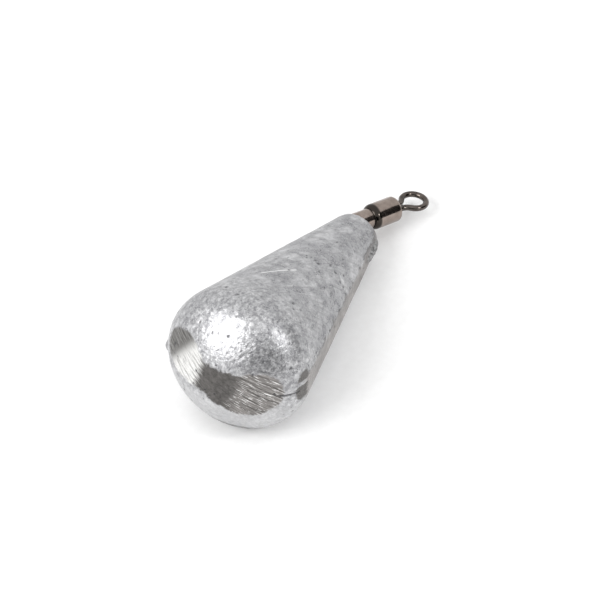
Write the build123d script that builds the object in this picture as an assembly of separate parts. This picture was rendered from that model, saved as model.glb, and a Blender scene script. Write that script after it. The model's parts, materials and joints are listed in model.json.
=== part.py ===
"""A cast lead pear sinker with a rolling swivel, lying on its flank on a flat surface.

The lead is one casting from a two-part mould, filed along the mould's parting line. One eye of the
swivel is cast into its narrow end, at the angle at which the swivel lay in the mould. Between its
two wire eyes the swivel has a barrel: a drawn cup whose rim is crimped over a flanged neck bush.
Each eye is one bent wire whose two legs are held by a collar that turns inside the barrel.

Millimetres, +Z up. The lead's narrow end and the line eye point towards +X. The origin is on the
surface that the sinker lies on, under the middle of its bounding box.
"""

import os
from math import asin, atan, atan2, cos, degrees, hypot, radians, sin, sqrt, tan

from build123d import *

# Lead casting
LEAD_LENGTH = 47.0
LEAD_DIAMETER = 23.0
SHOULDER_RADIUS = 5.7
CROWN_RISE = 2.45
TIP_DIAMETER = 7.9
TIP_CHAMFER = 0.6

# Filing along the mould's parting line: a band over the nose's crown, straight on from a few degrees
# short of the crown's ends, and a flat along the seam on each flank
PARTING_ROLL = 2.5
GATE_BAND_DEPTH = 0.42
GATE_BAND_SHORT_OF_CROWN = 14.0
LEFT_SEAM_DEPTH = 0.1
RIGHT_SEAM_DEPTH = 0.42

# Flat that the soft lead has on the side that it lies on
REST_ROLL = -90.0
REST_FLAT_DEPTH = 0.12

# Lump of casting flash left on the right seam near the narrow end
FLASH_LENGTH = 4.8
FLASH_HEIGHT = 0.42
FLASH_ROOT = 0.25
FLASH_THICKNESS = 0.9
FLASH_FROM_TIP = 3.2

# How the swivel lies in the lead's narrow end
SWIVEL_TILT = 24.5
SWIVEL_OFFSET_LEFT = 1.34
SWIVEL_OFFSET_UP = 1.25
EYE_EMBED = 0.2
LEAD_CLEARANCE = 0.3

# Wire eyes, with as many sides as keep the wire within 0.025 mm of round
WIRE_DIAMETER = 1.0
WIRE_SIDES = 10
RING_INNER_DIAMETER = 3.1
RING_NECK_RADIUS = 2.4
LEG_GAP = 0.06
LEG_STUB = 0.25
CAST_EYE_ROLL = 108.0
LINE_EYE_ROLL = 12.0

# Swivel barrel, from the wire outwards and from the neck to the line eye
RUNNING_CLEARANCE = 0.06
NECK_WALL = 0.56
NECK_LENGTH = 3.0
NECK_CHAMFER = 0.15
FLANGE_RIM = 0.25
FLANGE_THICKNESS = 0.6
CRIMP_LENGTH = 0.9
CRIMP_LIP = 0.1
COLLAR_LENGTH = 1.3
COLLAR_GAP = 1.2
END_FLOAT = 0.1
BARREL_WALL = 0.25
BARREL_END_WALL = 0.5
BARREL_END_ROUND = 0.45

# Radii worked out from the sizes above
lead_radius = LEAD_DIAMETER / 2
tip_radius = TIP_DIAMETER / 2
wire_radius = WIRE_DIAMETER / 2
ring_radius = RING_INNER_DIAMETER / 2 + wire_radius
leg_offset = wire_radius + LEG_GAP / 2
bore_radius = leg_offset + wire_radius + RUNNING_CLEARANCE
neck_radius = bore_radius + NECK_WALL
cavity_radius = neck_radius + FLANGE_RIM
collar_radius = cavity_radius - RUNNING_CLEARANCE
barrel_radius = cavity_radius + BARREL_WALL

# The nose's crown is an arc that runs tangent into the shoulder's, and that one into the flank.
shoulder_offset = lead_radius - SHOULDER_RADIUS
shoulder_height = SHOULDER_RADIUS + CROWN_RISE
crown_radius = SHOULDER_RADIUS + (shoulder_offset**2 + CROWN_RISE**2) / (2 * CROWN_RISE)
crown_turn = 2 * atan(CROWN_RISE / shoulder_offset)
tip_rise = LEAD_LENGTH - shoulder_height
tip_inset = shoulder_offset - tip_radius
flank_angle = atan2(tip_inset, tip_rise) + asin(SHOULDER_RADIUS / hypot(tip_inset, tip_rise))

# An eye's wire bends outwards from its legs and runs tangent into the ring.
bend_offset = leg_offset + RING_NECK_RADIUS
bend_to_ring = sqrt((RING_NECK_RADIUS + ring_radius) ** 2 - bend_offset**2)
bend_turn = degrees(atan2(bend_to_ring, bend_offset))

# Stations along the swivel's axis, counted outwards from the lead's end face
tilt = radians(SWIVEL_TILT)
bush_start = (LEAD_CLEARANCE + neck_radius * sin(tilt)) / cos(tilt)
barrel_start = bush_start + NECK_LENGTH
flange_start = barrel_start + CRIMP_LENGTH
flange_end = flange_start + FLANGE_THICKNESS
cast_collar_start = flange_end + END_FLOAT
cast_collar_end = cast_collar_start + COLLAR_LENGTH
line_collar_start = cast_collar_end + COLLAR_GAP
line_collar_end = line_collar_start + COLLAR_LENGTH
cavity_end = line_collar_end + END_FLOAT
barrel_end = cavity_end + BARREL_END_WALL
line_ring_station = barrel_end + LEG_STUB + bend_to_ring

# The lead's frame as it lies: Z along its axis from nose to tip, X to its left, Y up from its flank
lead_frame = Plane(
    origin=(0, 0, 0),
    x_dir=(0, 1, 0),
    z_dir=(cos(flank_angle), 0, -sin(flank_angle)),
)

# The swivel's frame in the lead's frame: Z along its axis away from the lead, X to its left
swivel_frame = Plane(
    origin=(SWIVEL_OFFSET_LEFT, SWIVEL_OFFSET_UP, LEAD_LENGTH),
    x_dir=(cos(tilt), 0, sin(tilt)),
    z_dir=(-sin(tilt), 0, cos(tilt)),
)


def flank_flattened(casting, roll, depth):
    """Takes a flat of that depth off the flank, all along the line that lies at a roll from its left."""
    normal = Vector(cos(flank_angle), 0, sin(flank_angle)).rotate(Axis.Z, roll)
    reach = SHOULDER_RADIUS + shoulder_offset * cos(flank_angle)
    flat = Plane(origin=Vector(0, 0, shoulder_height) + normal * (reach - depth), z_dir=normal)
    return split(casting, bisect_by=flat, keep=Keep.BOTTOM)


def filed_prism():
    """What the file leaves of the nose along the parting line: straight across it, curved along it."""
    turn = degrees(crown_turn) - GATE_BAND_SHORT_OF_CROWN
    crown = CenterArc((0, crown_radius), crown_radius - GATE_BAND_DEPTH, -90 - turn, 2 * turn)
    right = crown @ 0 - crown % 0 * LEAD_DIAMETER
    left = crown @ 1 + crown % 1 * LEAD_DIAMETER
    back = 2 * LEAD_LENGTH
    behind = Polyline(crown @ 1, left, (left.X, back), (right.X, back), right, crown @ 0)
    outline = Plane.XZ * make_face([crown, *behind.edges()])
    return Rot(0, 0, PARTING_ROLL) * extrude(outline, LEAD_DIAMETER, both=True)


def flash_lump():
    """Thin plate in the parting plane with a low arched edge, rooted in the flat on the right flank."""
    arch = ThreePointArc((-FLASH_LENGTH / 2, 0), (0, FLASH_HEIGHT), (FLASH_LENGTH / 2, 0))
    depth = RIGHT_SEAM_DEPTH + FLASH_ROOT
    root = Polyline(arch @ 1, (FLASH_LENGTH / 2, -depth), (-FLASH_LENGTH / 2, -depth), arch @ 0)
    flank_radius = tip_radius + FLASH_FROM_TIP * tan(flank_angle)
    on_flank = Plane(
        origin=(-flank_radius, 0, LEAD_LENGTH - FLASH_FROM_TIP),
        x_dir=(sin(flank_angle), 0, cos(flank_angle)),
        z_dir=(0, -1, 0),
    )
    plate = extrude(on_flank * make_face([arch, *root.edges()]), FLASH_THICKNESS / 2, both=True)
    return Rot(0, 0, PARTING_ROLL) * plate


def lead_casting():
    """The pear-shaped casting in the lead's frame, with its nose's pole at the origin."""
    crown = CenterArc((0, crown_radius), crown_radius, -90, degrees(crown_turn))
    shoulder = CenterArc(
        (shoulder_offset, shoulder_height),
        SHOULDER_RADIUS,
        degrees(crown_turn) - 90,
        90 + degrees(flank_angle - crown_turn),
    )
    straight = Polyline(shoulder @ 1, (tip_radius, LEAD_LENGTH), (0, LEAD_LENGTH), crown @ 0)
    casting = revolve(Plane.XZ * make_face([crown, shoulder, *straight.edges()]), Axis.Z)
    tip_edge = casting.edges().filter_by(GeomType.CIRCLE).sort_by(Axis.Z)[-1]
    casting = chamfer(tip_edge, min(TIP_CHAMFER, tip_radius / 2))
    casting = flank_flattened(casting, REST_ROLL, REST_FLAT_DEPTH)
    casting = flank_flattened(casting, PARTING_ROLL, LEFT_SEAM_DEPTH)
    casting = flank_flattened(casting, PARTING_ROLL + 180, RIGHT_SEAM_DEPTH)
    return (casting + flash_lump()) & filed_prism()


def wire_eye(shank_length):
    """One wire bent to a ring on two legs. The legs start at the origin and the ring is on +Z."""
    section = Pos(leg_offset, 0, 0) * RegularPolygon(wire_radius, WIRE_SIDES)
    leg = extrude(section, shank_length)
    bend_axis = Axis((bend_offset, 0, shank_length), (0, 1, 0))
    ring_axis = Axis((0, 0, shank_length + bend_to_ring), (0, 1, 0))
    leg_top = Pos(0, 0, shank_length) * section
    bend = revolve(leg_top, bend_axis, bend_turn)
    half_ring = revolve(leg_top.rotate(bend_axis, bend_turn), ring_axis, -90 - bend_turn)
    half = leg + bend + half_ring
    return half + mirror(half, Plane.YZ)


def neck_bush():
    """Bush whose neck shows beside the lead and whose flange is trapped by the barrel's crimp."""
    outline = Polyline(
        (bore_radius, bush_start),
        (neck_radius - NECK_CHAMFER, bush_start),
        (neck_radius, bush_start + NECK_CHAMFER),
        (neck_radius, flange_start),
        (cavity_radius, flange_start),
        (cavity_radius, flange_end),
        (bore_radius, flange_end),
        close=True,
    )
    return revolve(Plane.XZ * make_face(outline), Axis.Z)


def barrel_cup():
    """Drawn cup with the line eye's hole in its end and its open rim crimped in to the neck."""
    crimp_drop = barrel_radius - neck_radius - CRIMP_LIP
    crimp_radius = (CRIMP_LENGTH**2 + crimp_drop**2) / (2 * crimp_drop)
    crimp_turn = degrees(2 * atan(crimp_drop / CRIMP_LENGTH))
    crimp = CenterArc((barrel_radius - crimp_radius, flange_start), crimp_radius, -crimp_turn, crimp_turn)
    corner = CenterArc(
        (barrel_radius - BARREL_END_ROUND, barrel_end - BARREL_END_ROUND), BARREL_END_ROUND, 0, 90
    )
    wall = Line(crimp @ 1, corner @ 0)
    inside = Polyline(
        corner @ 1,
        (bore_radius, barrel_end),
        (bore_radius, cavity_end),
        (cavity_radius, cavity_end),
        (cavity_radius, flange_start),
        (neck_radius, flange_start),
        (neck_radius, barrel_start),
        crimp @ 0,
    )
    return revolve(Plane.XZ * make_face([crimp, wall, corner, *inside.edges()]), Axis.Z)


def eye_collar(start, end, eye):
    """Collar swaged round an eye's legs, which turns inside the barrel."""
    return extrude(Pos(0, 0, start) * Circle(collar_radius), end - start) - eye


def swivel():
    """The swivel's pieces in its own frame, by name."""
    cast_eye = Rot(180, 0, 0) * wire_eye(cast_collar_end + EYE_EMBED)
    cast_eye = Pos(0, 0, cast_collar_end) * Rot(0, 0, CAST_EYE_ROLL) * cast_eye
    line_eye = wire_eye(barrel_end + LEG_STUB - line_collar_start)
    line_eye = Pos(0, 0, line_collar_start) * Rot(0, 0, LINE_EYE_ROLL) * line_eye
    return {
        "cast_in_eye": cast_eye,
        "cast_in_eye_collar": eye_collar(cast_collar_start, cast_collar_end, cast_eye),
        "neck_bush": neck_bush(),
        "barrel_cup": barrel_cup(),
        "line_eye_collar": eye_collar(line_collar_start, line_collar_end, line_eye),
        "line_eye": line_eye,
    }


# Every piece in the lead's frame, then at rest with the origin under the middle of the whole sinker
pieces = {name: swivel_frame.location * piece for name, piece in swivel().items()}
pieces["lead_weight"] = lead_casting() - pieces["cast_in_eye"]
lying = Compound([lead_frame.location * solid for piece in pieces.values() for solid in piece.solids()])
box = lying.bounding_box()
lead_at_rest = Pos(-box.center().X, -box.center().Y, -box.min.Z) * lead_frame.location

os.makedirs("parts", exist_ok=True)
for name, piece in pieces.items():
    export_step(lead_at_rest * Compound(list(piece.solids())), f"parts/{name}.step")

swivel_at_rest = lead_at_rest * swivel_frame.location
print("swivel axis leaves the lead at", swivel_at_rest.position)
print("swivel axis points along", Plane(swivel_at_rest).z_dir)
line_ring = Plane(swivel_at_rest * Pos(0, 0, line_ring_station) * Rot(0, 0, LINE_EYE_ROLL))
print("line eye's ring is centred at", line_ring.origin, "square to", line_ring.y_dir)
print("nose's pole is at", lead_at_rest.position, "and the flank's angle is", degrees(flank_angle))
for name, piece in pieces.items():
    print(name, "volume", piece.volume)
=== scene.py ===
"""Looks of a cast lead pear sinker and its rolling swivel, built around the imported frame."""

import json
from math import asin, atan, atan2, cos, hypot, pi, radians, sin, sqrt, tan

import bmesh
import bpy
from mathutils import Matrix, Quaternion, Vector


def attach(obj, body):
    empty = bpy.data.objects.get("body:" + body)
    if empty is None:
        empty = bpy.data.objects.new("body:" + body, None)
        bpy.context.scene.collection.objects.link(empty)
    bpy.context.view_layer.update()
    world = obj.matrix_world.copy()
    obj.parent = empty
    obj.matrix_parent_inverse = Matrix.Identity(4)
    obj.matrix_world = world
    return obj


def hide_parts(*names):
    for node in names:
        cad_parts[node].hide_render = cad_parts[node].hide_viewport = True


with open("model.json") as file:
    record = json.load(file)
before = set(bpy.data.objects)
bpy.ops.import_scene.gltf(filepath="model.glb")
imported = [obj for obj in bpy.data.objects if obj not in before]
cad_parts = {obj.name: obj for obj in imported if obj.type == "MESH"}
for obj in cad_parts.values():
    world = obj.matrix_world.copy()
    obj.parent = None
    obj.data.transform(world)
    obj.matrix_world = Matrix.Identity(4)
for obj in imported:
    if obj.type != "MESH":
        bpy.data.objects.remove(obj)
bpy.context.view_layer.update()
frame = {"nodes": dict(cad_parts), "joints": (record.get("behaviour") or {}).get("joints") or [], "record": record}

# Wire eyes
# Each eye of the swivel is one hard drawn wire of 1 mm, bent to a ring on two legs that go into the
# barrel, and plated with black nickel. The line is tied to one, and the lead is cast round the other.
# Sizes here and below are in millimetres, and a piece's place brings them into the frame's metres.
MM = 0.001
WIRE_RADIUS = 0.5
WIRE_SIDES = 28
RING_RADIUS = 2.05
RING_NECK_RADIUS = 2.4
LEG_OFFSET = 0.53
LEG_STUB = 0.25
LINE_LEG_INSIDE = 1.9
CAST_LEG_INSIDE = 2.9
CAST_EYE_EMBED = 0.2
CAST_EYE_TURN = radians(96)
LINE_EYE_TURN = radians(-10)
BARREL_LENGTH = 6.0
BEND_STEPS = 10
RING_STEPS = 30
CRIMP_SHADE_REACH = 0.8
MERGE_DISTANCE = 0.0005

bend_offset = LEG_OFFSET + RING_NECK_RADIUS
bend_rise = sqrt((RING_NECK_RADIUS + RING_RADIUS) ** 2 - bend_offset**2)
bend_turn = atan2(bend_rise, bend_offset)

# The swivel's own frame: its origin where its axis leaves the lead, Z along the axis to the line eye
spin = frame["joints"][0]
line_mount = frame["record"]["mounts"][0]
swivel_root = Vector(spin["pos_m"])
swivel_axis = Vector(spin["axis"]).normalized()
ring_normal = Vector(line_mount["axis"]).normalized()
ring_side = ring_normal.cross(swivel_axis)
swivel_turn = Matrix((ring_side, ring_normal, swivel_axis)).transposed().to_4x4()
swivel_place = Matrix.Translation(swivel_root) @ swivel_turn @ Matrix.Scale(MM, 4)
ring_station = (Vector(line_mount["pos_m"]) - swivel_root).dot(swivel_axis) / MM
barrel_end = ring_station - bend_rise - LEG_STUB
barrel_start = barrel_end - BARREL_LENGTH


def new_tree(name, **sizes):
    """An empty geometry tree with a named number input for each size, its inputs and its outputs."""
    tree = bpy.data.node_groups.new(name, "GeometryNodeTree")
    tree.interface.new_socket("Geometry", in_out="INPUT", socket_type="NodeSocketGeometry")
    tree.interface.new_socket("Geometry", in_out="OUTPUT", socket_type="NodeSocketGeometry")
    for size, value in sizes.items():
        kind = "NodeSocketInt" if isinstance(value, int) else "NodeSocketFloat"
        tree.interface.new_socket(size.replace("_", " "), in_out="INPUT", socket_type=kind)
    return tree, tree.nodes.new("NodeGroupInput").outputs, tree.nodes.new("NodeGroupOutput").inputs


def add_node(tree, kind, inputs=None, **settings):
    """Adds a node with its settings, and each input joined to a socket or set to a plain value."""
    node = tree.nodes.new(kind)
    for name, value in settings.items():
        setattr(node, name, value)
    for name, value in (inputs or {}).items():
        if isinstance(value, bpy.types.NodeSocket):
            tree.links.new(value, node.inputs[name])
        else:
            node.inputs[name].default_value = value
    return node


def noise(tree, vector, scale, detail=3.0, roughness=0.55):
    """Noise over a vector, from 0 to 1."""
    inputs = {"Vector": vector, "Scale": scale, "Detail": detail, "Roughness": roughness}
    return add_node(tree, "ShaderNodeTexNoise", inputs).outputs[0]


def shade(value):
    """A colour socket's four numbers from a grey or a colour."""
    return (*value, 1.0) if isinstance(value, tuple) else (value, value, value, 1.0)


def ramp(tree, value, *stops):
    """A ramp over a value, from (place, grey or colour) stops."""
    node = add_node(tree, "ShaderNodeValToRGB", {"Fac": value})
    while len(node.color_ramp.elements) < len(stops):
        node.color_ramp.elements.new(1.0)
    for element, (place, colour) in zip(node.color_ramp.elements, stops):
        element.position = place
        element.color = shade(colour)
    return node.outputs["Color"]


def mix(tree, share, first, second):
    """A mix of two colours or sockets."""
    inputs = {0: share}
    for slot, colour in ((6, first), (7, second)):
        inputs[slot] = colour if isinstance(colour, bpy.types.NodeSocket) else shade(colour)
    return add_node(tree, "ShaderNodeMix", inputs, data_type="RGBA").outputs[2]


def calc(tree, operation, *terms):
    """A Math node on sockets or plain numbers."""
    return add_node(tree, "ShaderNodeMath", dict(enumerate(terms)), operation=operation).outputs[0]


def weighted(tree, spot, weights):
    """A weighted sum of a place's X, Y and Z."""
    total = add_node(tree, "ShaderNodeVectorMath", {0: spot, 1: weights}, operation="DOT_PRODUCT")
    return total.outputs["Value"]


def away(tree, value, place):
    """How far a value is from a place."""
    return calc(tree, "ABSOLUTE", calc(tree, "SUBTRACT", value, place))


def step_up(tree, value, start, end):
    """From 0 at the start to 1 at the end."""
    inputs = {"Value": value, "From Min": start, "From Max": end}
    return add_node(tree, "ShaderNodeMapRange", inputs, interpolation_type="SMOOTHSTEP").outputs[0]


def new_material(name):
    """A material, its tree, its shader's inputs and the object's own coordinates."""
    material = bpy.data.materials.new(name)
    material.use_nodes = True
    tree = material.node_tree
    shader = next(node for node in tree.nodes if node.type == "BSDF_PRINCIPLED")
    place = add_node(tree, "ShaderNodeTexCoord").outputs["Object"]
    return material, tree, shader.inputs, place


def bumped(tree, shader, height, strength, depth):
    """Gives a surface a fine relief, of a depth in millimetres."""
    relief = {"Height": height, "Strength": strength, "Distance": depth * MM}
    tree.links.new(add_node(tree, "ShaderNodeBump", relief).outputs["Normal"], shader["Normal"])


def black_nickel(name, light, dark, low, high, crimp_shade_station=None):
    """Black nickel plate: a brownish dark mirror with cloudy patches, worn spots and a fine grain.

    Round a station on the swivel's axis it's nearly black: painted shade in the rolled-in hollow.
    """
    material, tree, shader, place = new_material(name)
    clouds = noise(tree, place, 900, 4)
    rubs = noise(tree, place, 3200, 5, 0.65)
    tone = mix(tree, ramp(tree, clouds, (0.35, 0.0), (0.68, 1.0)), dark, light)
    worn = ramp(tree, rubs, (0.6, 0.0), (0.74, 0.55))
    tone = mix(tree, worn, tone, (0.42, 0.36, 0.31))
    # Painted shade: round the crimp the plate is painted nearly black.
    if crimp_shade_station:
        station = calc(tree, "SUBTRACT", weighted(tree, place, swivel_axis), swivel_root.dot(swivel_axis))
        from_crimp_shade = away(tree, calc(tree, "DIVIDE", station, MM), crimp_shade_station)
        tone = mix(tree, step_up(tree, from_crimp_shade, CRIMP_SHADE_REACH, CRIMP_SHADE_REACH / 2), tone, (0.05, 0.043, 0.038))
    tree.links.new(tone, shader["Base Color"])
    tree.links.new(ramp(tree, rubs, (0.3, low), (0.75, high)), shader["Roughness"])
    bumped(tree, shader, rubs, 0.12, 0.02)
    shader["Metallic"].default_value = 1.0
    return material


def put(name, mesh, place, material, crease=None):
    """A plain mesh as a piece in its place, with its faces outwards and one material."""
    shell = bmesh.new()
    shell.from_mesh(mesh)
    bmesh.ops.remove_doubles(shell, verts=shell.verts, dist=MERGE_DISTANCE)
    bmesh.ops.recalc_face_normals(shell, faces=shell.faces)
    if shell.calc_volume(signed=True) < 0:
        bmesh.ops.reverse_faces(shell, faces=shell.faces)
    for face in shell.faces:
        face.smooth = True
    shell.transform(place)
    shell.to_mesh(mesh)
    shell.free()
    if crease:
        mesh.set_sharp_from_angle(angle=crease)
    mesh.name = name
    mesh.materials.clear()
    mesh.materials.append(material)
    piece = bpy.data.objects.new(name, mesh)
    bpy.context.scene.collection.objects.link(piece)
    return piece


def grown(name, points, tree, sizes):
    """The mesh that a tree makes of a chain of edges, with its inputs set by identifier."""
    mesh = bpy.data.meshes.new(name)
    mesh.from_pydata(points, [(i, i + 1) for i in range(len(points) - 1)], [])
    source = bpy.data.objects.new(name, mesh)
    bpy.context.scene.collection.objects.link(source)
    modifier = source.modifiers.new(tree.name, "NODES")
    modifier.node_group = tree
    for socket in tree.interface.items_tree:
        size = socket.name.replace(" ", "_")
        if socket.in_out == "INPUT" and size in sizes:
            modifier[socket.identifier] = sizes[size]
    shapes = bpy.context.evaluated_depsgraph_get()
    shape = source.evaluated_get(shapes)
    result = bpy.data.meshes.new_from_object(shape, preserve_all_data_layers=True, depsgraph=shapes)
    source.modifiers.clear()
    bpy.data.objects.remove(source)
    return result


def bent_wire_tree(sizes, material):
    """Round wire along a chain of edges, with closed ends."""
    tree, given, result = new_tree("bent wire", **sizes)
    path = add_node(tree, "GeometryNodeMeshToCurve", {"Mesh": given["Geometry"]})
    section = add_node(tree, "GeometryNodeCurvePrimitiveCircle")
    tree.links.new(given["Sides"], section.inputs["Resolution"])
    tree.links.new(given["Wire radius"], section.inputs["Radius"])
    parts = {"Curve": path.outputs["Curve"], "Profile Curve": section.outputs["Curve"], "Fill Caps": True}
    wire = add_node(tree, "GeometryNodeCurveToMesh", parts)
    whole = add_node(tree, "GeometryNodeRealizeInstances", {"Geometry": wire.outputs["Mesh"]})
    plated = add_node(tree, "GeometryNodeSetMaterial", {"Geometry": whole.outputs[0], "Material": material})
    tree.links.new(plated.outputs[0], result["Geometry"])
    return tree


def eye_path(leg_start, leg_end, way):
    """Points along an eye: up a leg, out along the bend, round the ring and down the other leg."""
    half = [(LEG_OFFSET, 0, leg_start)]
    for step in range(BEND_STEPS):
        turn = bend_turn * step / BEND_STEPS
        across = bend_offset - RING_NECK_RADIUS * cos(turn)
        half.append((across, 0, leg_end + way * RING_NECK_RADIUS * sin(turn)))
    ring_centre = leg_end + way * bend_rise
    for step in range(RING_STEPS):
        turn = (pi / 2 + bend_turn) * step / RING_STEPS - bend_turn
        half.append((RING_RADIUS * cos(turn), 0, ring_centre + way * RING_RADIUS * sin(turn)))
    top = (0, 0, ring_centre + way * RING_RADIUS)
    return [*half, top, *((-x, y, z) for x, y, z in reversed(half))]


wire_sizes = {"Wire_radius": WIRE_RADIUS, "Sides": WIRE_SIDES}
wire_plate = black_nickel("black_nickel_wire", (0.14, 0.12, 0.108), (0.065, 0.056, 0.05), 0.1, 0.22)
wire_tree = bent_wire_tree(wire_sizes, wire_plate)

line_path = eye_path(barrel_end - LINE_LEG_INSIDE, barrel_end + LEG_STUB, 1)
line_wire = grown("line path", line_path, wire_tree, wire_sizes)
line_place = swivel_place @ Matrix.Rotation(LINE_EYE_TURN, 4, "Z")
line_eye = put("tied_line_eye", line_wire, line_place, wire_plate)
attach(line_eye, "line_eye")
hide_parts("line_eye")

cast_path = eye_path(barrel_start + CAST_LEG_INSIDE, -CAST_EYE_EMBED, -1)
cast_wire = grown("cast path", cast_path, wire_tree, wire_sizes)
cast_place = swivel_place @ Matrix.Rotation(CAST_EYE_TURN, 4, "Z")
cast_eye = put("lead_held_eye", cast_wire, cast_place, wire_plate)
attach(cast_eye, "weight")
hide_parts("cast_in_eye")

# Eye collars
# A short brass collar is swaged round each eye's legs and sits inside the barrel, where it's hardly
# seen. Their solids are right as they are, so they only get the look of turned, lightly oiled brass.


def turned_brass():
    """Bare brass with fine rings from turning and a thin brown film of oil."""
    material, tree, shader, place = new_material("turned_collar_brass")
    film = noise(tree, place, 1400, 4)
    ridges = noise(tree, weighted(tree, place, swivel_axis), 26000, 2)
    tree.links.new(mix(tree, film, (0.62, 0.44, 0.19), (0.8, 0.62, 0.33)), shader["Base Color"])
    tree.links.new(ramp(tree, film, (0.3, 0.24), (0.7, 0.42)), shader["Roughness"])
    bumped(tree, shader, ridges, 0.25, 0.01)
    shader["Metallic"].default_value = 1.0
    return material


collar_brass = turned_brass()
for node in ("line_eye_collar", "cast_in_eye_collar"):
    frame["nodes"][node].data.materials.clear()
    frame["nodes"][node].data.materials.append(collar_brass)

# Swivel barrel
# A flanged bush makes the narrow neck next to the lead, and a cup drawn from brass sheet goes over
# its flange. The cup's rim is rolled in round the neck, and both are plated with black nickel.
NECK_RADIUS = 1.65
NECK_LENGTH = 3.0
BORE_RADIUS = 1.09
BUSH_EDGE = 0.14
FLANGE_RADIUS = 1.9
FLANGE_THICKNESS = 0.6
BARREL_RADIUS = 2.15
CRIMP_LENGTH = 0.9
CRIMP_LIP = 0.1
END_WALL = 0.18
END_ROUND = 0.6
END_SETBACK = 0.4
HOLE_EDGE = 0.12
ARC_STEPS = 9
TURN_STEPS = 112
SHARP_EDGE = radians(42)

bush_start = barrel_start - NECK_LENGTH
flange_start = barrel_start + CRIMP_LENGTH
flange_end = flange_start + FLANGE_THICKNESS
cup_end = barrel_end - END_SETBACK


def arc(across, along, radius, start, end):
    """Points of an arc in an outline, at angles from straight outwards towards the line eye."""
    turns = [start + (end - start) * step / ARC_STEPS for step in range(ARC_STEPS + 1)]
    return [(across + radius * cos(turn), along + radius * sin(turn)) for turn in turns]


def turned(name, outline, place, material):
    """A piece spun about its axis from a closed outline of (radius, station) points."""
    shell = bmesh.new()
    verts = [shell.verts.new((across, 0, along)) for across, along in outline]
    edges = [shell.edges.new((a, b)) for a, b in zip(verts, verts[1:] + verts[:1])]
    centre = {"cent": (0, 0, 0), "axis": (0, 0, 1)}
    bmesh.ops.spin(shell, geom=verts + edges, **centre, angle=2 * pi, steps=TURN_STEPS, use_merge=True)
    mesh = bpy.data.meshes.new(name)
    shell.to_mesh(mesh)
    shell.free()
    return put(name, mesh, place, material, crease=SHARP_EDGE)


bush_outline = [
    (BORE_RADIUS, bush_start),
    *arc(NECK_RADIUS - BUSH_EDGE, bush_start + BUSH_EDGE, BUSH_EDGE, -pi / 2, 0),
    (NECK_RADIUS, flange_start),
    (FLANGE_RADIUS, flange_start),
    (FLANGE_RADIUS, flange_end),
    (BORE_RADIUS, flange_end),
]
crimp_drop = BARREL_RADIUS - NECK_RADIUS - CRIMP_LIP
crimp_radius = (CRIMP_LENGTH**2 + crimp_drop**2) / (2 * crimp_drop)
crimp_turn = 2 * atan(crimp_drop / CRIMP_LENGTH)
cup_outline = [
    (NECK_RADIUS, barrel_start),
    *arc(BARREL_RADIUS - crimp_radius, flange_start, crimp_radius, -crimp_turn, 0),
    *arc(BARREL_RADIUS - END_ROUND, cup_end - END_ROUND, END_ROUND, 0, pi / 2),
    *arc(BORE_RADIUS + HOLE_EDGE, cup_end - HOLE_EDGE, HOLE_EDGE, pi / 2, pi),
    (BORE_RADIUS, cup_end - END_WALL),
    (FLANGE_RADIUS, cup_end - END_WALL),
    (FLANGE_RADIUS, flange_start),
    (NECK_RADIUS, flange_start),
]
plate_light, plate_dark = (0.33, 0.275, 0.245), (0.25, 0.205, 0.18)
# The crimp's middle, round which the barrel plate is painted nearly black as painted shade.
crimp_middle = barrel_start + CRIMP_LENGTH / 2
barrel_plate = black_nickel("black_nickel_barrel", plate_light, plate_dark, 0.1, 0.22, crimp_shade_station=crimp_middle)
neck_bush = turned("plated_neck_bush", bush_outline, swivel_place, barrel_plate)
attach(neck_bush, "barrel")
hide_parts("neck_bush")
barrel_cup = turned("crimped_barrel_cup", cup_outline, swivel_place, barrel_plate)
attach(barrel_cup, "barrel")
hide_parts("barrel_cup")

# Lead weight
# The weight is poured lead from a two-part mould, cast round the swivel's eye. Its skin is dull, pitted
# and mottled. A file has taken the gate off in a band across the nose, and the flash off both seams.
LEAD_LENGTH = 47.0
LEAD_RADIUS = 11.5
SHOULDER_RADIUS = 5.7
CROWN_RISE = 2.45
TIP_RADIUS = 3.95
TIP_ROUND = 0.9
SWIVEL_LEFT = 1.34
SWIVEL_UP = 1.25
PARTING_ROLL = radians(2.5)
LEFT_SEAM_DEPTH = 0.1
RIGHT_SEAM_ROLL = radians(179)
RIGHT_SEAM_DEPTH = 0.14
REST_ROLL = radians(-90)
REST_DEPTH = 0.12

# Cuts of the file across the nose, from its left to its right: degrees from the pole, degrees up from
# the parting plane, and depth. One more has cut the facet on the right shoulder.
FILE_CUTS = (
    (33, 9, 0.42),
    (28, 8.5, 0.52),
    (21, 6, 0.4),
    (13, 3, 0.28),
    (6, 2, 0.28),
    (0, 1, 0.31),
    (-8, -2, 0.44),
    (-17, -4, 0.54),
    (-24, -3, 0.57),
    (-30, 0, 0.46),
)
SHOULDER_FACET = (-80, 1.5, 0.32)
CUT_EDGE = (-0.03, 0.07)
FLASH_FROM_TIP = 4.0
FLASH_LENGTH = 6.4
FLASH_THICKNESS = 1.6
FLASH_UP = 1.0

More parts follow.
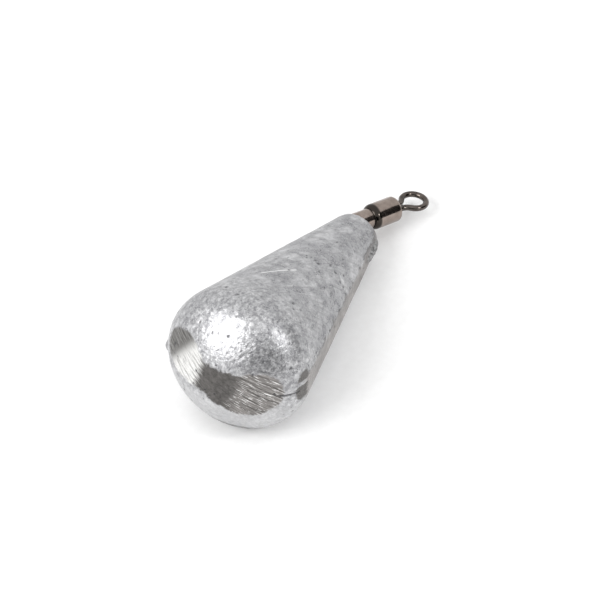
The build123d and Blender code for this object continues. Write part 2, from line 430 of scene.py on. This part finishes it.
# Places of the burr, the dent and single pits in the lead's own frame
BURR_SPOT = (10.6, -0.2, 5.0)
DENT_SPOT = (-5.6, 3.9, 32.4)
DENT_SHARES = (1 / 2.1, 1 / 2.1, 1 / 5.2)
PIT_SPOTS = (
    (3.36, 0.81, 0.81),
    (-9.8, 4.09, 5.09),
    (-5.44, 3.27, 1.54),
    (-6.3, 4.4, 27.9),
    (-6.8, 3.5, 28.2),
    (-7.3, 2.3, 28.3),
    (-8.2, 2.0, 24.3),
    (-9.3, 1.9, 19.0),
    (-7.0, 2.0, 30.5),
    (-5.7, 1.8, 36.4),
)
PIT_SPOT_RADIUS = 0.42
PIT_SPREAD = (0.9, 0.35)
PIT_DEPTH = 0.45
NOTCH_UP = -0.35
NOTCH_HALF = 0.2
NOTCH_ACROSS = (-8.4, -9.2)
NOTCH_ALONG = (6.8, 5.8)
CRINKLE_END = 16.0
STROKE_SLOPE = 0.55
STROKES_PER_MM = 2.6
STROKE_STRETCH = 0.1
NOSE_DENSITY = 1.5
SPIN_MERGE = 0.002

shoulder_offset = LEAD_RADIUS - SHOULDER_RADIUS
shoulder_height = SHOULDER_RADIUS + CROWN_RISE
crown_radius = SHOULDER_RADIUS + (shoulder_offset**2 + CROWN_RISE**2) / (2 * CROWN_RISE)
crown_turn = 2 * atan(CROWN_RISE / shoulder_offset)
tip_rise = LEAD_LENGTH - shoulder_height
tip_inset = shoulder_offset - TIP_RADIUS
flank_turn = atan2(tip_inset, tip_rise) + asin(SHOULDER_RADIUS / hypot(tip_inset, tip_rise))

# The lead's own frame: X to its left, Y up, Z along its axis from the nose's pole
lead_left = Vector((0, 1, 0))
lead_up = Vector((sin(flank_turn), 0, cos(flank_turn)))
lead_along = Vector((cos(flank_turn), 0, -sin(flank_turn)))
lead_turn = Matrix((lead_left, lead_up, lead_along)).transposed().to_4x4()
pole = swivel_root - (lead_left * SWIVEL_LEFT + lead_up * SWIVEL_UP + lead_along * LEAD_LENGTH) * MM
lead_place = Matrix.Translation(pole) @ lead_turn @ Matrix.Scale(MM, 4)


def nose_cut(turn, lift, depth):
    """The direction that a cut on the nose faces, and how far out it lies."""
    turn, lift = radians(turn), radians(lift)
    facing = Vector((sin(turn) * cos(lift), sin(lift), -cos(turn) * cos(lift)))
    if abs(turn) < crown_turn:
        return facing, crown_radius * (1 + facing.z) - depth
    reach = SHOULDER_RADIUS + shoulder_offset * hypot(facing.x, facing.y)
    return facing, shoulder_height * facing.z + reach - depth


def flank_cut(roll, depth):
    """The same for a flat all along the flank, at a roll from the lead's left."""
    facing = Vector((cos(flank_turn) * cos(roll), cos(flank_turn) * sin(roll), sin(flank_turn)))
    reach = SHOULDER_RADIUS + shoulder_offset * cos(flank_turn)
    return facing, shoulder_height * facing.z + reach - depth


def lead_outline():
    """The lead's outline from the nose's pole to the middle of its narrow end."""
    crown = arc(0, crown_radius, crown_radius, -pi / 2, crown_turn - pi / 2)
    shoulder = arc(shoulder_offset, shoulder_height, SHOULDER_RADIUS, crown_turn - pi / 2, flank_turn)
    tip_across = TIP_RADIUS + TIP_ROUND * (sin(flank_turn) - 1) / cos(flank_turn)
    tip = arc(tip_across, LEAD_LENGTH - TIP_ROUND, TIP_ROUND, flank_turn, pi / 2)
    return [(across, 0, along) for across, along in [*crown, *shoulder[1:], *tip, (0, LEAD_LENGTH)]]


def apart(tree, spot, place):
    """How far one place is from another."""
    gap = add_node(tree, "ShaderNodeVectorMath", {0: spot, 1: place}, operation="DISTANCE")
    return gap.outputs["Value"]


def file_strokes(tree, spot, density, stretch):
    """Long thin streaks along the file's strokes, from 0 to 1."""
    across = weighted(tree, spot, (-STROKE_SLOPE, 1, 0))
    along = weighted(tree, spot, (stretch, stretch * STROKE_SLOPE, stretch))
    streak = add_node(tree, "ShaderNodeCombineXYZ", {"X": across, "Y": along}).outputs[0]
    return noise(tree, streak, density, 3, 0.6)


def cast_lead_tree(sizes, filed_cuts, seam_cuts, facet_cut, rest_cut, material):
    """The lead as a spun outline with cast waves and pits, file cuts and a lump of flash."""
    tree, given, result = new_tree("cast lead", **sizes)
    here = add_node(tree, "GeometryNodeInputPosition").outputs[0]
    normal = add_node(tree, "GeometryNodeInputNormal").outputs[0]
    parts = add_node(tree, "ShaderNodeSeparateXYZ", {0: here}).outputs

    def moved(geometry, amount, direction=normal):
        """Moves every point along a direction."""
        scaled = {0: direction, "Scale": amount}
        way = add_node(tree, "ShaderNodeVectorMath", scaled, operation="SCALE").outputs[0]
        return add_node(tree, "GeometryNodeSetPosition", {"Geometry": geometry, "Offset": way}).outputs[0]

    def noted(geometry, name, value, kind="FLOAT"):
        """Keeps a value on every point, for later nodes and the material."""
        inputs = {"Geometry": geometry, "Name": name, "Value": value}
        return add_node(tree, "GeometryNodeStoreNamedAttribute", inputs, data_type=kind).outputs[0]

    def kept(name):
        """A value that was kept on the points."""
        return add_node(tree, "GeometryNodeInputNamedAttribute", {"Name": name}).outputs["Attribute"]

    def swing(scale, detail, size):
        """Noise about zero, of a given size from end to end."""
        return calc(tree, "MULTIPLY", calc(tree, "SUBTRACT", noise(tree, here, scale, detail), 0.5), size)

    def bulge(distance, half):
        """One in the middle of a stretch, down to nothing at its ends."""
        square = calc(tree, "POWER", calc(tree, "DIVIDE", distance, half), 2.0)
        return calc(tree, "MAXIMUM", calc(tree, "SUBTRACT", 1.0, square), 0.0)

    def cut(geometry, facing, reach, mark=None):
        """Takes off what stands out beyond a plane, and marks the cut with a ragged edge."""
        beyond = calc(tree, "SUBTRACT", weighted(tree, here, facing), reach)
        if mark:
            over = calc(tree, "ADD", beyond, swing(2.0, 4.0, given["Ragged edge"]))
            marked = calc(tree, "MAXIMUM", step_up(tree, over, *CUT_EDGE), kept(mark))
            geometry = noted(geometry, mark, marked)
        return moved(geometry, calc(tree, "MULTIPLY", calc(tree, "MAXIMUM", beyond, 0.0), -1.0), facing)

    outline = add_node(tree, "GeometryNodeMeshToCurve", {"Mesh": given["Geometry"]}).outputs["Curve"]
    steps = {"Vertices X": given["Steps around"], "Vertices Y": given["Steps along"]}
    grid = add_node(tree, "GeometryNodeMeshGrid", {"Size X": 1.0, "Size Y": 1.0, **steps}).outputs["Mesh"]
    around = calc(tree, "MULTIPLY_ADD", parts["X"], 2 * pi, pi / 2)
    along = calc(tree, "POWER", calc(tree, "ADD", parts["Y"], 0.5), NOSE_DENSITY)
    sample = add_node(tree, "GeometryNodeSampleCurve", {"Curves": outline, "Factor": along}, mode="FACTOR")
    on_outline = add_node(tree, "ShaderNodeSeparateXYZ", {0: sample.outputs["Position"]}).outputs
    left = calc(tree, "MULTIPLY", on_outline["X"], calc(tree, "COSINE", around))
    up = calc(tree, "MULTIPLY", on_outline["X"], calc(tree, "SINE", around))
    spun = add_node(tree, "ShaderNodeCombineXYZ", {"X": left, "Y": up, "Z": on_outline["Z"]}).outputs[0]
    lead = add_node(tree, "GeometryNodeSetPosition", {"Geometry": grid, "Position": spun}).outputs[0]
    joined = {"Geometry": lead, "Distance": SPIN_MERGE}
    lead = add_node(tree, "GeometryNodeMergeByDistance", joined).outputs[0]

    waves = swing(0.16, 2.0, given["Wave height"])
    grain = swing(1.1, 4.0, given["Grain height"])
    on_nose = step_up(tree, parts["Z"], CRINKLE_END, CRINKLE_END / 2)
    crinkle = calc(tree, "MULTIPLY", swing(1.8, 3.0, given["Crinkle height"]), on_nose)
    lead = moved(lead, calc(tree, "ADD", calc(tree, "ADD", waves, grain), crinkle))

    from_dent = add_node(tree, "ShaderNodeVectorMath", {0: here, 1: DENT_SPOT}, operation="SUBTRACT")
    squeezed = {0: from_dent.outputs[0], 1: DENT_SHARES}
    squeezed = add_node(tree, "ShaderNodeVectorMath", squeezed, operation="MULTIPLY").outputs[0]
    dent = bulge(apart(tree, squeezed, (0, 0, 0)), 1.0)
    lead = moved(lead, calc(tree, "MULTIPLY", dent, calc(tree, "MULTIPLY", given["Dent depth"], -1.0)))

    for facing, reach in seam_cuts:
        lead = cut(lead, facing, reach, "seam")
    lead = cut(lead, *facet_cut, "facet")
    from_parting = weighted(tree, here, (-sin(PARTING_ROLL), cos(PARTING_ROLL), 0))
    from_parting = calc(tree, "SUBTRACT", from_parting, FLASH_UP)
    from_flash = calc(tree, "SUBTRACT", parts["Z"], LEAD_LENGTH - FLASH_FROM_TIP)
    on_right = calc(tree, "LESS_THAN", parts["X"], 0.0)
    ridge = calc(tree, "MULTIPLY", bulge(from_parting, FLASH_THICKNESS / 2), on_right)
    flash = calc(tree, "MULTIPLY", calc(tree, "SQRT", bulge(from_flash, FLASH_LENGTH / 2)), ridge)
    lead = noted(lead, "flash", flash)
    uneven = calc(tree, "ADD", noise(tree, here, 1.3, 3), 0.4)
    flash = calc(tree, "MULTIPLY", calc(tree, "MULTIPLY", kept("flash"), uneven), given["Flash height"])
    lead = moved(lead, flash)
    for facing, reach in filed_cuts:
        lead = cut(lead, facing, reach, "filed")
    grooves = calc(tree, "SUBTRACT", file_strokes(tree, here, STROKES_PER_MM, STROKE_STRETCH), 0.5)
    grooves = calc(tree, "MULTIPLY", calc(tree, "MULTIPLY", grooves, kept("filed")), given["Groove depth"])
    lead = moved(lead, grooves)
    burr = calc(tree, "POWER", bulge(apart(tree, here, BURR_SPOT), given["Burr radius"]), 2.0)
    lead = moved(lead, calc(tree, "MULTIPLY", burr, given["Burr height"]))
    lead = cut(lead, *rest_cut)

    clusters = step_up(tree, noise(tree, here, 0.2, 2), 0.42, 0.62)
    density = calc(tree, "MULTIPLY", clusters, given["Pits per area"])
    scatter = {"Mesh": lead, "Density": density, "Seed": given["Pit seed"]}
    pits = add_node(tree, "GeometryNodeDistributePointsOnFaces", scatter).outputs["Points"]
    near = add_node(tree, "GeometryNodeProximity", {0: pits}, target_element="POINTS")
    chance = add_node(tree, "ShaderNodeTexWhiteNoise", {"Vector": near.outputs["Position"]})
    spread = calc(tree, "MULTIPLY_ADD", chance.outputs["Value"], *PIT_SPREAD)
    width = calc(tree, "MULTIPLY", given["Pit radius"], spread)
    pit = step_up(tree, near.outputs["Distance"], width, 0.0)
    for pit_spot in PIT_SPOTS:
        pit = calc(tree, "MAXIMUM", pit, step_up(tree, apart(tree, here, pit_spot), PIT_SPOT_RADIUS, 0.0))
    notch = bulge(calc(tree, "SUBTRACT", parts["Y"], NOTCH_UP), NOTCH_HALF)
    notch = calc(tree, "MULTIPLY", notch, step_up(tree, parts["X"], *NOTCH_ACROSS))
    notch = calc(tree, "MULTIPLY", notch, step_up(tree, parts["Z"], *NOTCH_ALONG))
    lead = noted(lead, "pit", calc(tree, "MAXIMUM", pit, notch))
    lead = moved(lead, calc(tree, "MULTIPLY", calc(tree, "MULTIPLY", kept("pit"), width), -PIT_DEPTH))

    lead = noted(lead, "lead_place", here, "FLOAT_VECTOR")
    lead = add_node(tree, "GeometryNodeRealizeInstances", {"Geometry": lead}).outputs[0]
    lead = add_node(tree, "GeometryNodeSetMaterial", {"Geometry": lead, "Material": material}).outputs[0]
    tree.links.new(lead, result["Geometry"])
    return tree


SCRATCH_START = Vector((1.58, 0, 16.18))
SCRATCH_END = Vector((-1.82, 0, 21.09))
SCRATCH_WIDTH = 0.16
FINE_STROKES_PER_MM = 5.5
FINE_STRETCH = 0.16
FRONT_END = (11.0, 7.5)
PAINTED_REFLECTION_BELOW = (-2.0, -4.0)
PAINTED_SHADE_BELOW = (-8.3, -9.6)
STRIP_UP = -0.3
STRIP_HALF = 2.2
STRIP_RIGHT = (-3.0, -3.6)
STRIP_START = (6.8, 8.4)
BRIDGE_UP = 0.7
SKIN_DARK = (0.27, 0.27, 0.28)
SKIN_MIDDLE = (0.44, 0.44, 0.45)
SKIN_LIGHT = (0.63, 0.63, 0.64)
FACET_MARK_DARK = (0.08, 0.076, 0.073)
FACET_MARK_LIGHT = (0.17, 0.162, 0.155)


def cast_lead_skin():
    """Poured lead: mottled grey oxide, specks and pits, stroked metal where filed, and painted light and shade."""
    material, tree, shader, _ = new_material("mottled_cast_lead")
    spot = add_node(tree, "ShaderNodeAttribute", attribute_name="lead_place").outputs["Vector"]
    filed, seam, facet, flash, pit = (
        add_node(tree, "ShaderNodeAttribute", attribute_name=name).outputs["Fac"]
        for name in ("filed", "seam", "facet", "flash", "pit")
    )
    up = weighted(tree, spot, (0, 1, 0))
    from_pole = weighted(tree, spot, (0, 0, 1))

    def swung(value, noisy, size):
        """A value with noise added, of a given size from end to end."""
        return calc(tree, "MULTIPLY_ADD", calc(tree, "SUBTRACT", noisy, 0.5), size, value)

    # Cast skin: clouds, mottling, dark specks, bright grains, wrinkles and faint scuffs along the flank
    clouds = noise(tree, spot, 0.2, 4)
    mottle = noise(tree, spot, 1.5, 5, 0.62)
    grains = noise(tree, spot, 5.0, 2, 0.5)
    wrinkle = step_up(tree, away(tree, noise(tree, spot, 0.55, 3), 0.5), 0.02, 0.004)
    wrinkle = calc(tree, "MULTIPLY", wrinkle, step_up(tree, clouds, 0.56, 0.44))
    scuff_across = weighted(tree, spot, (2.6, 0.4, 1.3))
    scuff_along = weighted(tree, spot, (-0.12, 0.2, 0.24))
    scuff = add_node(tree, "ShaderNodeCombineXYZ", {"X": scuff_across, "Y": scuff_along}).outputs[0]
    scuffs = noise(tree, scuff, 1.0, 4, 0.6)
    patches = noise(tree, spot, 0.45, 5, 0.62)
    on_flank = step_up(tree, from_pole, CRINKLE_END / 2, CRINKLE_END)
    patchy = calc(tree, "MULTIPLY", on_flank, 0.6)
    tone = calc(tree, "MULTIPLY_ADD", calc(tree, "SUBTRACT", patches, mottle), patchy, mottle)
    skin = ramp(tree, tone, (0.36, SKIN_DARK), (0.5, SKIN_MIDDLE), (0.63, SKIN_LIGHT))
    skin = mix(tree, ramp(tree, clouds, (0.4, 0.4), (0.58, 0.0)), skin, (0.32, 0.32, 0.335))
    skin = mix(tree, ramp(tree, scuffs, (0.35, 0.45), (0.48, 0.0)), skin, SKIN_DARK)
    skin = mix(tree, ramp(tree, scuffs, (0.6, 0.0), (0.7, 0.5)), skin, (0.7, 0.7, 0.705))
    specks = calc(tree, "MULTIPLY", step_up(tree, grains, 0.4, 0.28), step_up(tree, patches, 0.58, 0.44))
    skin = mix(tree, specks, skin, (0.12, 0.12, 0.13))
    # Bright grains: partly the skin's own light specks, partly painted glints.
    skin = mix(tree, ramp(tree, grains, (0.62, 0.0), (0.72, 0.65)), skin, (0.78, 0.78, 0.78))
    # Wrinkle lines painted dark: painted shade in the creases of the relief.
    skin = mix(tree, calc(tree, "MULTIPLY", wrinkle, 0.55), skin, (0.13, 0.13, 0.14))

    # One long bright scratch on top of the flank, as seen from above
    scratch = SCRATCH_END - SCRATCH_START
    level = add_node(tree, "ShaderNodeVectorMath", {0: spot, 1: (1, 0, 1)}, operation="MULTIPLY")
    from_start = {0: level.outputs[0], 1: SCRATCH_START}
    from_start = add_node(tree, "ShaderNodeVectorMath", from_start, operation="SUBTRACT").outputs[0]
    share = calc(tree, "DIVIDE", weighted(tree, from_start, scratch), scratch.length_squared)
    share = add_node(tree, "ShaderNodeClamp", {"Value": share}).outputs[0]
    nearest = add_node(tree, "ShaderNodeVectorMath", {0: scratch, "Scale": share}, operation="SCALE")
    gap = apart(tree, from_start, nearest.outputs[0])
    on_top = step_up(tree, up, 0.0, 1.0)
    scored = calc(tree, "MULTIPLY", step_up(tree, gap, SCRATCH_WIDTH, SCRATCH_WIDTH / 4), on_top)
    skin = mix(tree, scored, skin, (0.88, 0.88, 0.88))

    # Filed band: a painted dark reflection on the far left, a painted highlight, then painted dark over the pole
    # and on the right real file strokes, whose fine bright streaks are painted glints
    strokes = file_strokes(tree, spot, STROKES_PER_MM, STROKE_STRETCH)
    fine = file_strokes(tree, spot, FINE_STROKES_PER_MM, FINE_STRETCH)
    across = swung(weighted(tree, spot, (1, 0.27, 0)), strokes, 3.0)
    far_left = swung(weighted(tree, spot, (0.786, 0.618, 0)), strokes, 3.0)
    # Painted dark reflection over the pole.
    filed_with_painted_light = ramp(tree, mottle, (0.35, (0.07, 0.066, 0.063)), (0.65, (0.13, 0.123, 0.118)))
    strokes_and_painted_glints = ramp(tree, strokes, (0.36, (0.09, 0.085, 0.08)), (0.62, (0.3, 0.285, 0.275)))
    # Painted glints: fine bright streaks along the strokes.
    strokes_and_painted_glints = mix(tree, step_up(tree, fine, 0.56, 0.65), strokes_and_painted_glints, (0.85, 0.84, 0.83))
    filed_with_painted_light = mix(tree, step_up(tree, across, -2.0, -4.4), filed_with_painted_light, strokes_and_painted_glints)
    # Painted highlight: a bright band on the left of the filed band.
    painted_highlight_band = ramp(tree, strokes, (0.36, (0.42, 0.415, 0.405)), (0.55, (0.8, 0.795, 0.78)))
    filed_with_painted_light = mix(tree, step_up(tree, across, 2.4, 3.8), filed_with_painted_light, painted_highlight_band)
    # Painted dark reflection on the far left.
    painted_dark_far_left = ramp(tree, strokes, (0.36, (0.07, 0.067, 0.063)), (0.62, (0.22, 0.215, 0.207)))
    filed_with_painted_light = mix(tree, step_up(tree, far_left, 5.6, 7.4), filed_with_painted_light, painted_dark_far_left)

    # Round the nose below the band: a painted reflection of the paper, and painted shade facing the ground
    on_front = step_up(tree, from_pole, *FRONT_END)
    # Painted reflection: the skin below the band is painted lighter.
    painted_paper_reflection = calc(tree, "MULTIPLY", step_up(tree, up, *PAINTED_REFLECTION_BELOW), on_front)
    skin = mix(tree, calc(tree, "MULTIPLY", painted_paper_reflection, 0.5), skin, (0.62, 0.62, 0.625))
    # Painted shade: the nose's underside is painted dark.
    painted_underside_shade = calc(tree, "MULTIPLY", step_up(tree, swung(up, mottle, 0.8), *PAINTED_SHADE_BELOW), on_front)
    skin = mix(tree, painted_underside_shade, skin, (0.1, 0.1, 0.1))
    skin = mix(tree, filed, skin, filed_with_painted_light)

    # Filed seams: dark marks on the shoulder's facet, and a stained strip with a dark edge on the flank
    ragged_up = swung(swung(up, patches, 3.0), mottle, 1.0)
    on_strip = step_up(tree, weighted(tree, spot, (1, 0, 0)), *STRIP_RIGHT)
    on_strip = calc(tree, "MULTIPLY", on_strip, step_up(tree, from_pole, *STRIP_START))
    from_strip = away(tree, ragged_up, STRIP_UP)
    stain = calc(tree, "MULTIPLY", step_up(tree, from_strip, STRIP_HALF + 0.3, STRIP_HALF - 0.7), on_strip)
    stain = calc(tree, "MAXIMUM", stain, calc(tree, "MULTIPLY", seam, 0.3))
    stained = ramp(tree, tone, (0.38, (0.24, 0.222, 0.212)), (0.62, (0.43, 0.405, 0.39)))
    skin = mix(tree, calc(tree, "MULTIPLY", stain, 0.8), skin, stained)
    edging = calc(tree, "MULTIPLY", step_up(tree, away(tree, from_strip, STRIP_HALF), 0.3, 0.08), on_strip)
    edging = calc(tree, "MULTIPLY", edging, step_up(tree, clouds, 0.52, 0.44))
    skin = mix(tree, calc(tree, "MULTIPLY", edging, 0.6), skin, (0.14, 0.133, 0.128))
    # The shoulder's facet is darkened in patches.
    facet_dark_marks = calc(tree, "MULTIPLY", facet, step_up(tree, swung(from_pole, mottle, 1.2), 8.6, 7.8))
    bridge = away(tree, swung(up, mottle, 0.8), BRIDGE_UP)
    facet_dark_marks = calc(tree, "MULTIPLY", facet_dark_marks, step_up(tree, bridge, 0.25, 0.5))
    skin = mix(tree, facet_dark_marks, skin, ramp(tree, grains, (0.3, FACET_MARK_DARK), (0.7, FACET_MARK_LIGHT)))
    skin = mix(tree, step_up(tree, flash, 0.05, 0.5), skin, ramp(tree, mottle, (0.4, 0.1), (0.62, 0.42)))

    skin = mix(tree, pit, skin, (0.05, 0.05, 0.055))
    tree.links.new(skin, shader["Base Color"])
    nose_rough = ramp(tree, mottle, (0.3, 0.28), (0.7, 0.42))
    rough = mix(tree, on_flank, nose_rough, ramp(tree, mottle, (0.3, 0.4), (0.7, 0.56)))
    rough = mix(tree, filed, rough, ramp(tree, strokes, (0.3, 0.4), (0.65, 0.26)))
    tree.links.new(rough, shader["Roughness"])
    coarse = calc(tree, "MULTIPLY_ADD", grains, 0.4, mottle)
    coarse = calc(tree, "MULTIPLY_ADD", wrinkle, -0.3, coarse)
    height = mix(tree, filed, coarse, strokes)
    strength = calc(tree, "MULTIPLY_ADD", on_flank, -0.2, 0.7)
    bumped(tree, shader, height, strength, 0.12)
    shader["Metallic"].default_value = 0.8
    return material


lead_sizes = {
    "Steps_around": 360,
    "Steps_along": 250,
    "Wave_height": 0.16,
    "Grain_height": 0.07,
    "Crinkle_height": 0.12,
    "Dent_depth": 0.24,
    "Flash_height": 0.84,
    "Ragged_edge": 0.22,
    "Groove_depth": 0.05,
    "Burr_radius": 1.2,
    "Burr_height": 0.4,
    "Pits_per_area": 0.16,
    "Pit_radius": 0.3,
    "Pit_seed": 7,
}
filed_cuts = [nose_cut(*cut) for cut in FILE_CUTS]
seam_cuts = [flank_cut(PARTING_ROLL, LEFT_SEAM_DEPTH), flank_cut(RIGHT_SEAM_ROLL, RIGHT_SEAM_DEPTH)]
facet_cut = nose_cut(*SHOULDER_FACET)
rest_cut = flank_cut(REST_ROLL, REST_DEPTH)
lead_skin = cast_lead_skin()
lead_tree = cast_lead_tree(lead_sizes, filed_cuts, seam_cuts, facet_cut, rest_cut, lead_skin)
lead_mesh = grown("lead outline", lead_outline(), lead_tree, lead_sizes)
lead_weight = put("cast_lead_body", lead_mesh, lead_place, lead_skin)
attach(lead_weight, "weight")
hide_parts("lead_weight")

# Studio
# The sinker lies on a wide sheet of white paper in a white room that is lit from its ceiling. A large
# soft light stands on the sinker's left and a small one on its right. A black card on the right and one
# in front show only in reflections, and darken what the plating mirrors.
PAPER_SIZE = 6.0
PAPER_GLOW = 0.13
ROOM_LOW = 0.05
ROOM_HIGH = 1.1
KEY_DIRECTION = (-0.7, 0.35, 0.62)
KEY_DISTANCE = 0.7
KEY_SIZE = 0.5
KEY_POWER = 3.4
SECOND_DIRECTION = (0.05, -0.77, 0.63)
SECOND_DISTANCE = 0.3
SECOND_SIZE = 0.07
SECOND_POWER = 0.2
CARD_DISTANCE = 0.25
SIDE_CARD = (-0.12, 0.08, 0.2)
FRONT_CARD = (-0.1, 0.16, 0.18)
CAMERA_HEADING = radians(28.9)


def seen_ray(tree):
    """One for what the camera sees straight, in a reflection or through glass."""
    rays = add_node(tree, "ShaderNodeLightPath").outputs
    mirrored = calc(tree, "MAXIMUM", rays["Is Glossy Ray"], rays["Is Transmission Ray"])
    return calc(tree, "MAXIMUM", rays["Is Camera Ray"], mirrored)


def white_paper():
    """Matt white paper with a faint tooth, which glows a little to the camera and in reflections."""
    material, tree, shader, place = new_material("white_paper")
    tooth = noise(tree, place, 700, 4)
    tree.links.new(ramp(tree, tooth, (0.3, 0.83), (0.7, 0.87)), shader["Base Color"])
    shader["Roughness"].default_value = 0.9
    shader["Specular IOR Level"].default_value = 0.1
    shader["Emission Color"].default_value = shade(1.0)
    tree.links.new(calc(tree, "MULTIPLY", seen_ray(tree), PAPER_GLOW), shader["Emission Strength"])
    return material


def black_card():
    """Matt black card with a faint tooth."""
    material, tree, shader, place = new_material("black_card")
    tree.links.new(ramp(tree, noise(tree, place, 300, 4), (0.3, 0.012), (0.7, 0.02)), shader["Base Color"])
    shader["Roughness"].default_value = 0.9
    shader["Specular IOR Level"].default_value = 0.1
    return material


def stage_sheet(name, corners, material):
    """A flat sheet that isn't part of the object."""
    mesh = bpy.data.meshes.new(name)
    mesh.from_pydata(corners, [], [(0, 1, 2, 3)])
    mesh.materials.append(material)
    sheet = bpy.data.objects.new(name, mesh)
    bpy.context.scene.collection.objects.link(sheet)
    return sheet


def soft_light(name, direction, distance, size, power):
    """A round soft light that points at the sinker."""
    light = bpy.data.lights.new(name, "AREA")
    light.shape = "DISK"
    light.size = size
    light.energy = power
    lamp = bpy.data.objects.new(name, light)
    lamp.location = Vector(direction).normalized() * distance
    lamp.rotation_euler = Vector(direction).to_track_quat("Z", "Y").to_euler()
    bpy.context.scene.collection.objects.link(lamp)


half = PAPER_SIZE / 2
paper_corners = [(-half, -half, 0), (half, -half, 0), (half, half, 0), (-half, half, 0)]
stage_sheet("paper", paper_corners, white_paper())
aside = Vector((sin(CAMERA_HEADING), -cos(CAMERA_HEADING), 0))
ahead = Vector((cos(CAMERA_HEADING), sin(CAMERA_HEADING), 0))
card_black = black_card()
for name, way, across, (start, end, height) in (
    ("side card", aside, ahead, SIDE_CARD),
    ("front card", -ahead, aside, FRONT_CARD),
):
    foot = [way * CARD_DISTANCE + across * shift for shift in (start, end)]
    top = [corner + Vector((0, 0, height)) for corner in reversed(foot)]
    card = stage_sheet(name, [*foot, *top], card_black)
    card.visible_camera = False
    card.visible_diffuse = False
    card.visible_shadow = False

room = bpy.data.worlds.new("white room")
room.use_nodes = True
room_tree = room.node_tree
room_way = add_node(room_tree, "ShaderNodeTexCoord").outputs["Generated"]
room_grey = ramp(room_tree, weighted(room_tree, room_way, (0, 0, 1)), (0.0, ROOM_LOW), (1.0, ROOM_HIGH))
room_tone = mix(room_tree, seen_ray(room_tree), room_grey, 1.0)
room_tree.links.new(room_tone, room_tree.nodes["Background"].inputs["Color"])
bpy.context.scene.world = room

soft_light("key light", KEY_DIRECTION, KEY_DISTANCE, KEY_SIZE, KEY_POWER)
soft_light("second light", SECOND_DIRECTION, SECOND_DISTANCE, SECOND_SIZE, SECOND_POWER)

# Camera
# A long lens from the nose's side, as the photograph was taken.
CAMERA_ELEVATION = radians(45.7)
CAMERA_DISTANCE = 0.335
CAMERA_LENS = 125.9
SENSOR_WIDTH = 36.0
CLIP_START = 0.01
CAMERA_ROLL = radians(-1.4)
CAMERA_AIM = Vector((1.64, 2.91, 0)) * MM

look = Vector((cos(CAMERA_HEADING), sin(CAMERA_HEADING), -tan(CAMERA_ELEVATION))).normalized()
camera_data = bpy.data.cameras.new("camera")
camera_data.lens = CAMERA_LENS
camera_data.sensor_width = SENSOR_WIDTH
camera_data.clip_start = CLIP_START
camera = bpy.data.objects.new("camera", camera_data)
camera.location = CAMERA_AIM - look * CAMERA_DISTANCE
camera.rotation_euler = (look.to_track_quat("-Z", "Y") @ Quaternion((0, 0, 1), CAMERA_ROLL)).to_euler()
bpy.context.scene.collection.objects.link(camera)
bpy.context.scene.camera = camera
bpy.context.scene.view_settings.view_transform = "Standard"
